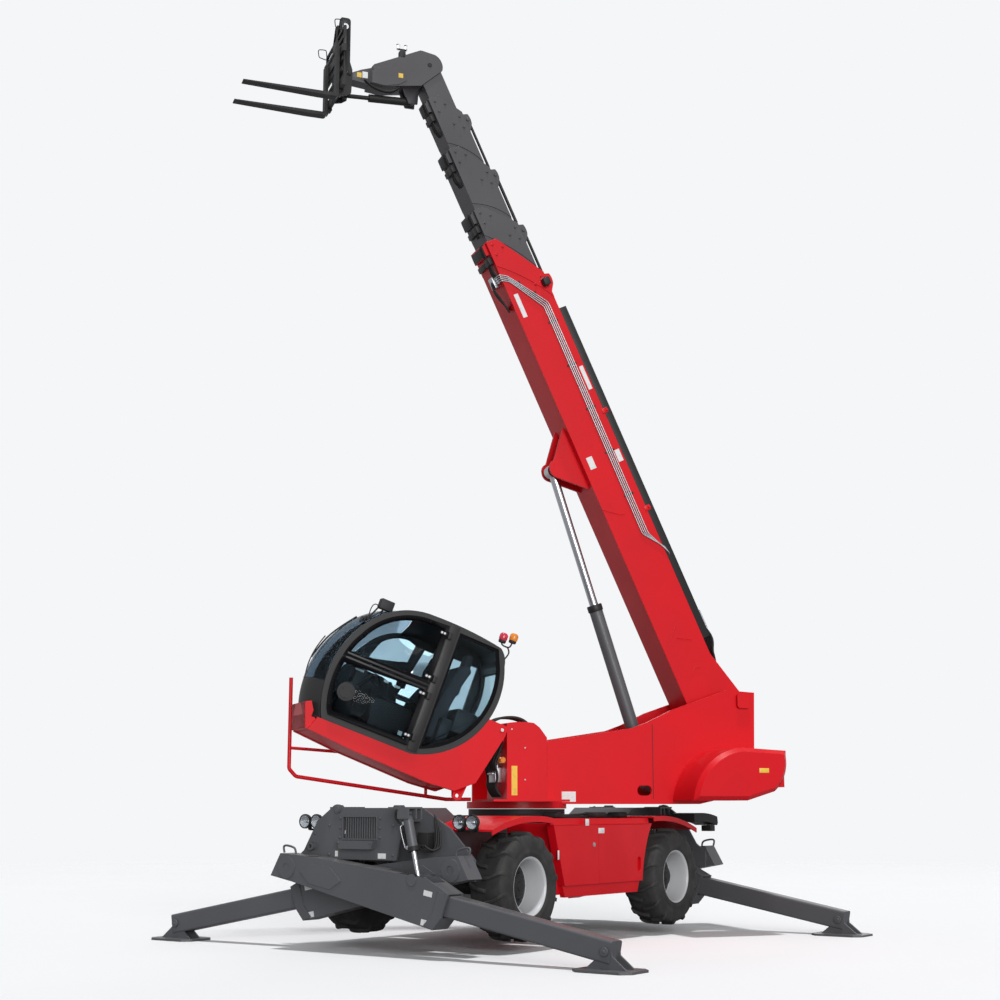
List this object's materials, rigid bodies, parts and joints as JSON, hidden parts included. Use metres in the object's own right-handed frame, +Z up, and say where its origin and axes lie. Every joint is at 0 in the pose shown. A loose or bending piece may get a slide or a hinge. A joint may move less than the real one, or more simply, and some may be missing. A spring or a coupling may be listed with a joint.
{
  "type": "rotating telehandler",
  "caption": "Telescopic handler on a slewing turret, with forks, a tilting cab, steered wheels and folding outriggers.",
  "frame": {"origin": "on the ground below the slew axis, at the middle of the wheelbase", "axes": "+X forward along the chassis, +Y to its left, +Z up"},
  "size_m": [6.3265, 6.72, 11.35],
  "materials": {
    "body_red": "gloss",
    "frame_grey": "satin",
    "boom_grey": "satin",
    "black": "matte",
    "tyre": "matte",
    "rim": "satin",
    "hub": "satin",
    "rod": "polished",
    "cab_grey": "satin",
    "glass": "clear",
    "seat": "woven",
    "fork": "satin",
    "engine": "rough"
  },
  "bodies": {
    "chassis": {"chassis_frame": "frame_grey", "end_plates": "frame_grey", "axles": "hub", "engine_block": "engine", "side_covers": "body_red", "mudguards": "body_red", "slew_ring": "black", "tail_box": "black", "lamps": "black"},
    "turret": {"turret_frame": "body_red", "turret_tower": "body_red", "counterweight": "body_red", "cab_guard": "body_red"},
    "cab": {"cab_cradle": "body_red", "cab_shell": "cab_grey", "cab_windows": "glass", "operator_seat": "seat"},
    "door_lower": {"cab_door_lower": "glass"},
    "door_upper": {"cab_door_upper": "glass"},
    "boom_outer": {"boom_main": "body_red", "boom_carrier": "frame_grey"},
    "boom_stage_2": {"boom_section_2": "boom_grey"},
    "boom_stage_3": {"boom_section_3": "boom_grey"},
    "boom_stage_4": {"boom_section_4": "boom_grey"},
    "boom_stage_5": {"boom_section_5": "boom_grey", "boom_head": "boom_grey"},
    "lift_ram_barrel": {"lift_barrel": "frame_grey"},
    "lift_ram_rod": {"lift_rod": "rod"},
    "carriage": {"fork_carriage": "fork", "forks": "fork"},
    "tilt_ram_barrel": {"tilt_barrel": "frame_grey"},
    "tilt_ram_rod": {"tilt_rod": "rod"},
    "knuckle_front_left": {"knuckle_front_left": "hub"},
    "wheel_front_left": {"rim_front_left": "rim", "tyre_front_left": "tyre"},
    "knuckle_front_right": {"knuckle_front_right": "hub"},
    "wheel_front_right": {"rim_front_right": "rim", "tyre_front_right": "tyre"},
    "knuckle_rear_left": {"knuckle_rear_left": "hub"},
    "wheel_rear_left": {"rim_rear_left": "rim", "tyre_rear_left": "tyre"},
    "knuckle_rear_right": {"knuckle_rear_right": "hub"},
    "wheel_rear_right": {"rim_rear_right": "rim", "tyre_rear_right": "tyre"},
    "beam_front_left": {"outrigger_beam_front_left": "frame_grey"},
    "leg_front_left": {"outrigger_leg_front_left": "frame_grey"},
    "ram_barrel_front_left": {"outrigger_barrel_front_left": "frame_grey"},
    "ram_rod_front_left": {"outrigger_rod_front_left": "rod"},
    "beam_front_right": {"outrigger_beam_front_right": "frame_grey"},
    "leg_front_right": {"outrigger_leg_front_right": "frame_grey"},
    "ram_barrel_front_right": {"outrigger_barrel_front_right": "frame_grey"},
    "ram_rod_front_right": {"outrigger_rod_front_right": "rod"},
    "beam_rear_left": {"outrigger_beam_rear_left": "frame_grey"},
    "leg_rear_left": {"outrigger_leg_rear_left": "frame_grey"},
    "ram_barrel_rear_left": {"outrigger_barrel_rear_left": "frame_grey"},
    "ram_rod_rear_left": {"outrigger_rod_rear_left": "rod"},
    "beam_rear_right": {"outrigger_beam_rear_right": "frame_grey"},
    "leg_rear_right": {"outrigger_leg_rear_right": "frame_grey"},
    "ram_barrel_rear_right": {"outrigger_barrel_rear_right": "frame_grey"},
    "ram_rod_rear_right": {"outrigger_rod_rear_right": "rod"}
  },
  "joints": [
    {"name": "slew", "type": "hinge", "parent": "chassis", "child": "turret", "pos_m": [0, 0, 1.5], "axis": [0, 0, 1], "continuous": true},
    {"name": "cab_tilt", "type": "hinge", "parent": "turret", "child": "cab", "pos_m": [0.94836, 0.2992, 2.383], "axis": [-0.5749, -0.8183, 0], "range_deg": [-20, 0]},
    {"name": "cab_door_lower", "type": "hinge", "parent": "cab", "child": "door_lower", "pos_m": [2.00692, 0.06269, 2.52426], "axis": [-0.2799, 0.1966, 0.9397], "range_deg": [0, 90]},
    {"name": "cab_door_upper", "type": "hinge", "parent": "cab", "child": "door_upper", "pos_m": [1.80822, 0.20229, 3.19145], "axis": [-0.2799, 0.1966, 0.9397], "range_deg": [0, 90]},
    {"name": "boom_lift", "type": "hinge", "parent": "turret", "child": "boom_outer", "pos_m": [-2.34838, 1.64986, 2.83], "axis": [-0.5749, -0.8183, 0], "range_deg": [-67, 15]},
    {"name": "lift_ram_swing", "type": "hinge", "parent": "turret", "child": "lift_ram_barrel", "pos_m": [-1.45649, 1.02326, 1.79], "axis": [-0.5749, -0.8183, 0], "range_deg": [-67.8, 15.57]},
    {"name": "lift_ram_slide", "type": "slide", "parent": "lift_ram_barrel", "child": "lift_ram_rod", "axis": [0.2573, -0.1808, 0.9493], "range_m": [-1.6681, 0.375]},
    {"name": "boom_extend_2", "type": "slide", "parent": "boom_outer", "child": "boom_stage_2", "axis": [0.3458, -0.2429, 0.9063], "range_m": [-0.08, 3]},
    {"name": "boom_extend_3", "type": "slide", "parent": "boom_stage_2", "child": "boom_stage_3", "axis": [0.3458, -0.2429, 0.9063], "range_m": [-0.08, 3]},
    {"name": "boom_extend_4", "type": "slide", "parent": "boom_stage_3", "child": "boom_stage_4", "axis": [0.3458, -0.2429, 0.9063], "range_m": [-0.08, 3]},
    {"name": "boom_extend_5", "type": "slide", "parent": "boom_stage_4", "child": "boom_stage_5", "axis": [0.3458, -0.2429, 0.9063], "range_m": [-0.08, 3]},
    {"name": "fork_tilt", "type": "hinge", "parent": "boom_stage_5", "child": "carriage", "pos_m": [1.85743, -1.30494, 10.59], "axis": [0.5749, 0.8183, 0], "range_deg": [-50, 35]},
    {"name": "tilt_ram_swing", "type": "hinge", "parent": "boom_stage_5", "child": "tilt_ram_barrel", "pos_m": [1.16192, -0.8163, 10.38], "axis": [0.5749, 0.8183, 0], "range_deg": [-3.65, 2.7]},
    {"name": "tilt_ram_slide", "type": "slide", "parent": "tilt_ram_barrel", "child": "tilt_ram_rod", "axis": [0.8174, -0.5743, -0.0459], "range_m": [-0.1392, 0.198]},
    {"name": "steer_front_left", "type": "hinge", "parent": "chassis", "child": "knuckle_front_left", "pos_m": [1.595, 0.86, 0.685], "axis": [0, 0, 1], "range_deg": [-35, 35]},
    {"name": "spin_front_left", "type": "hinge", "parent": "knuckle_front_left", "child": "wheel_front_left", "pos_m": [1.595, 1.07, 0.685], "axis": [0, 1, 0], "continuous": true},
    {"name": "steer_front_right", "type": "hinge", "parent": "chassis", "child": "knuckle_front_right", "pos_m": [1.595, -0.86, 0.685], "axis": [0, 0, 1], "range_deg": [-35, 35]},
    {"name": "spin_front_right", "type": "hinge", "parent": "knuckle_front_right", "child": "wheel_front_right", "pos_m": [1.595, -1.07, 0.685], "axis": [0, 1, 0], "continuous": true},
    {"name": "steer_rear_left", "type": "hinge", "parent": "chassis", "child": "knuckle_rear_left", "pos_m": [-1.595, 0.86, 0.685], "axis": [0, 0, 1], "range_deg": [-35, 35]},
    {"name": "spin_rear_left", "type": "hinge", "parent": "knuckle_rear_left", "child": "wheel_rear_left", "pos_m": [-1.595, 1.07, 0.685], "axis": [0, 1, 0], "continuous": true},
    {"name": "steer_rear_right", "type": "hinge", "parent": "chassis", "child": "knuckle_rear_right", "pos_m": [-1.595, -0.86, 0.685], "axis": [0, 0, 1], "range_deg": [-35, 35]},
    {"name": "spin_rear_right", "type": "hinge", "parent": "knuckle_rear_right", "child": "wheel_rear_right", "pos_m": [-1.595, -1.07, 0.685], "axis": [0, 1, 0], "continuous": true},
    {"name": "outrigger_fold_front_left", "type": "hinge", "parent": "chassis", "child": "beam_front_left", "pos_m": [2.83, -1, 0.88], "axis": [-1, 0, 0], "range_deg": [-8.5, 0]},
    {"name": "outrigger_extend_front_left", "type": "slide", "parent": "beam_front_left", "child": "leg_front_left", "axis": [0, 0.9833, -0.1822], "range_m": [-1.39, 0]},
    {"name": "outrigger_ram_swing_front_left", "type": "hinge", "parent": "chassis", "child": "ram_barrel_front_left", "pos_m": [2.83, 0.567, 1.463], "axis": [-1, 0, 0], "range_deg": [-7.22, 0.3]},
    {"name": "outrigger_ram_slide_front_left", "type": "slide", "parent": "ram_barrel_front_left", "child": "ram_rod_front_left", "axis": [0, 0.2377, -0.9713], "range_m": [-0.2484, 0.001]},
    {"name": "outrigger_fold_front_right", "type": "hinge", "parent": "chassis", "child": "beam_front_right", "pos_m": [2.525, 1, 0.88], "axis": [1, 0, 0], "range_deg": [-8.5, 0]},
    {"name": "outrigger_extend_front_right", "type": "slide", "parent": "beam_front_right", "child": "leg_front_right", "axis": [0, -0.9833, -0.1822], "range_m": [-1.39, 0]},
    {"name": "outrigger_ram_swing_front_right", "type": "hinge", "parent": "chassis", "child": "ram_barrel_front_right", "pos_m": [2.525, -0.567, 1.463], "axis": [1, 0, 0], "range_deg": [-7.22, 0.3]},
    {"name": "outrigger_ram_slide_front_right", "type": "slide", "parent": "ram_barrel_front_right", "child": "ram_rod_front_right", "axis": [0, -0.2377, -0.9713], "range_m": [-0.2484, 0.001]},
    {"name": "outrigger_fold_rear_left", "type": "hinge", "parent": "chassis", "child": "beam_rear_left", "pos_m": [-2.525, -1, 0.88], "axis": [-1, 0, 0], "range_deg": [-8.5, 0]},
    {"name": "outrigger_extend_rear_left", "type": "slide", "parent": "beam_rear_left", "child": "leg_rear_left", "axis": [0, 0.9833, -0.1822], "range_m": [-1.39, 0]},
    {"name": "outrigger_ram_swing_rear_left", "type": "hinge", "parent": "chassis", "child": "ram_barrel_rear_left", "pos_m": [-2.525, 0.567, 1.463], "axis": [-1, 0, 0], "range_deg": [-7.22, 0.3]},
    {"name": "outrigger_ram_slide_rear_left", "type": "slide", "parent": "ram_barrel_rear_left", "child": "ram_rod_rear_left", "axis": [0, 0.2377, -0.9713], "range_m": [-0.2484, 0.001]},
    {"name": "outrigger_fold_rear_right", "type": "hinge", "parent": "chassis", "child": "beam_rear_right", "pos_m": [-2.83, 1, 0.88], "axis": [1, 0, 0], "range_deg": [-8.5, 0]},
    {"name": "outrigger_extend_rear_right", "type": "slide", "parent": "beam_rear_right", "child": "leg_rear_right", "axis": [0, -0.9833, -0.1822], "range_m": [-1.39, 0]},
    {"name": "outrigger_ram_swing_rear_right", "type": "hinge", "parent": "chassis", "child": "ram_barrel_rear_right", "pos_m": [-2.83, -0.567, 1.463], "axis": [1, 0, 0], "range_deg": [-7.22, 0.3]},
    {"name": "outrigger_ram_slide_rear_right", "type": "slide", "parent": "ram_barrel_rear_right", "child": "ram_rod_rear_right", "axis": [0, -0.2377, -0.9713], "range_m": [-0.2484, 0.001]}
  ],
  "couplings": [
    {"joint": "lift_ram_swing", "follows": "boom_lift", "ratio": 1.0046},
    {"joint": "lift_ram_slide", "follows": "boom_lift", "m_per_rad": 1.4248},
    {"joint": "boom_extend_3", "follows": "boom_extend_2", "ratio": 1},
    {"joint": "boom_extend_4", "follows": "boom_extend_2", "ratio": 1},
    {"joint": "boom_extend_5", "follows": "boom_extend_2", "ratio": 1},
    {"joint": "tilt_ram_swing", "follows": "fork_tilt", "ratio": 0.063},
    {"joint": "tilt_ram_slide", "follows": "fork_tilt", "m_per_rad": -0.2246},
    {"joint": "steer_front_right", "follows": "steer_front_left", "ratio": 1},
    {"joint": "steer_rear_right", "follows": "steer_rear_left", "ratio": 1},
    {"joint": "outrigger_ram_swing_front_left", "follows": "outrigger_fold_front_left", "ratio": 0.814},
    {"joint": "outrigger_ram_slide_front_left", "follows": "outrigger_fold_front_left", "m_per_rad": 1.6673},
    {"joint": "outrigger_ram_swing_front_right", "follows": "outrigger_fold_front_right", "ratio": 0.814},
    {"joint": "outrigger_ram_slide_front_right", "follows": "outrigger_fold_front_right", "m_per_rad": 1.6673},
    {"joint": "outrigger_ram_swing_rear_left", "follows": "outrigger_fold_rear_left", "ratio": 0.814},
    {"joint": "outrigger_ram_slide_rear_left", "follows": "outrigger_fold_rear_left", "m_per_rad": 1.6673},
    {"joint": "outrigger_ram_swing_rear_right", "follows": "outrigger_fold_rear_right", "ratio": 0.814},
    {"joint": "outrigger_ram_slide_rear_right", "follows": "outrigger_fold_rear_right", "m_per_rad": 1.6673}
  ]
}
